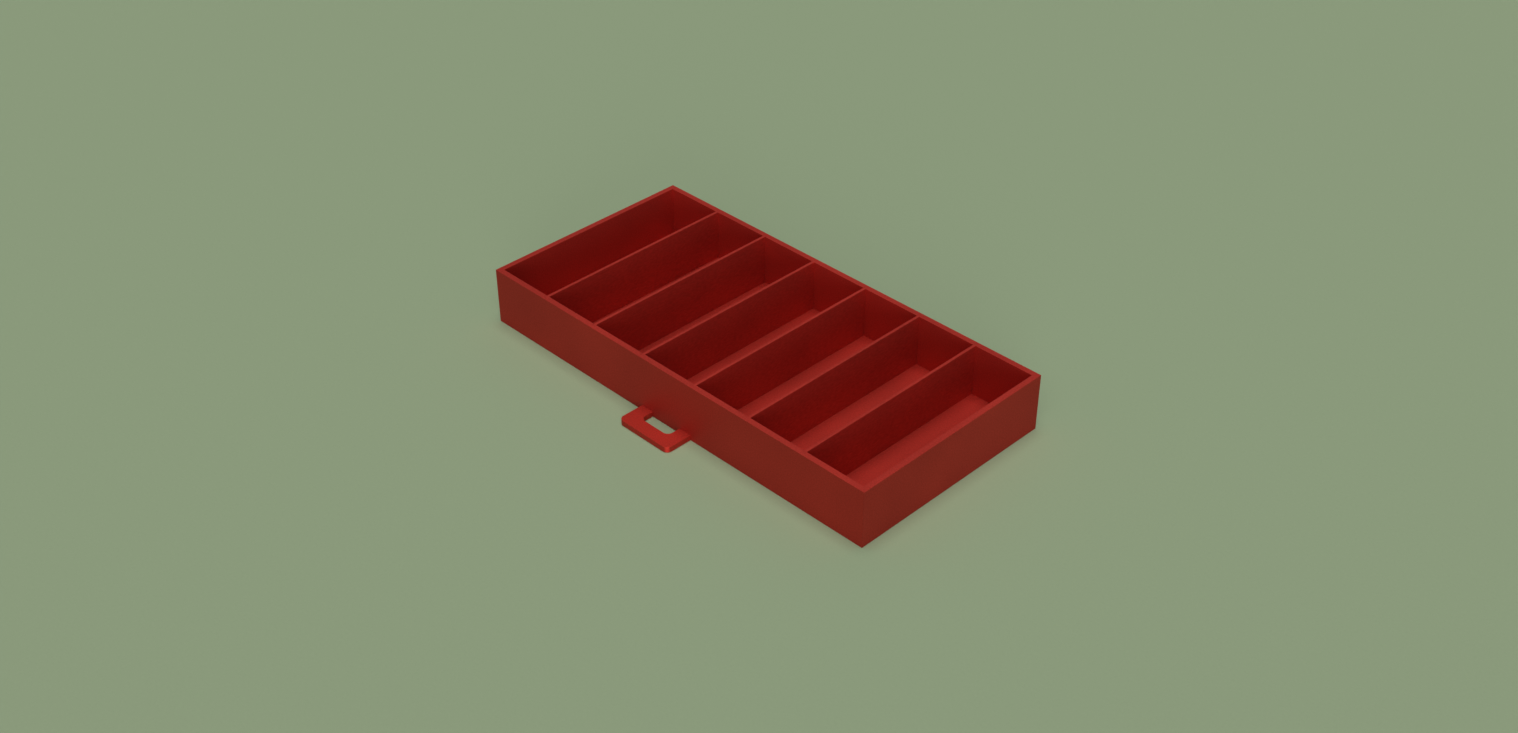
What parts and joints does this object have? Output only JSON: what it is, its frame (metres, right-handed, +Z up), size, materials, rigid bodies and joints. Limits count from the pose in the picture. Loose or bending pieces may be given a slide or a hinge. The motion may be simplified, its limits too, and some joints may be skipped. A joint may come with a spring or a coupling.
{
  "type": "divided small-parts drawer",
  "caption": "Shallow open drawer for small parts, divided into narrow compartments by thin lift-out dividers, with a flat finger pull at its foot.",
  "frame": {"origin": "middle of the drawer's underside, not counting the pull", "axes": "+X along the long side, -Y the front, where the pull is, +Z up out of the compartments"},
  "size_m": [0.165, 0.0899, 0.0204],
  "materials": {
    "panel_plastic": "satin moulded red",
    "divider_plastic": "satin red sheet",
    "pull_plastic": "satin moulded red",
    "rivet_aluminium": "plain",
    "pin_steel": "ground"
  },
  "bodies": {
    "drawer": {"floor_panel": "panel_plastic", "front_wall": "panel_plastic", "back_wall": "panel_plastic", "left_end_wall": "panel_plastic", "right_end_wall": "panel_plastic", "pull_loop": "pull_plastic", "pull_rivet_left": "rivet_aluminium", "pull_rivet_right": "rivet_aluminium", "corner_pin_front_left": "pin_steel", "corner_pin_front_right": "pin_steel", "corner_pin_back_left": "pin_steel", "corner_pin_back_right": "pin_steel"},
    "divider_1": {"divider_1": "divider_plastic"},
    "divider_2": {"divider_2": "divider_plastic"},
    "divider_3": {"divider_3": "divider_plastic"},
    "divider_4": {"divider_4": "divider_plastic"},
    "divider_5": {"divider_5": "divider_plastic"},
    "divider_6": {"divider_6": "divider_plastic"}
  },
  "joints": [
    {"name": "divider_1_lift", "type": "slide", "parent": "drawer", "child": "divider_1", "axis": [0, 0, 1], "range_m": [0, 0.022]},
    {"name": "divider_2_lift", "type": "slide", "parent": "drawer", "child": "divider_2", "axis": [0, 0, 1], "range_m": [0, 0.022]},
    {"name": "divider_3_lift", "type": "slide", "parent": "drawer", "child": "divider_3", "axis": [0, 0, 1], "range_m": [0, 0.022]},
    {"name": "divider_4_lift", "type": "slide", "parent": "drawer", "child": "divider_4", "axis": [0, 0, 1], "range_m": [0, 0.022]},
    {"name": "divider_5_lift", "type": "slide", "parent": "drawer", "child": "divider_5", "axis": [0, 0, 1], "range_m": [0, 0.022]},
    {"name": "divider_6_lift", "type": "slide", "parent": "drawer", "child": "divider_6", "axis": [0, 0, 1], "range_m": [0, 0.022]}
  ]
}
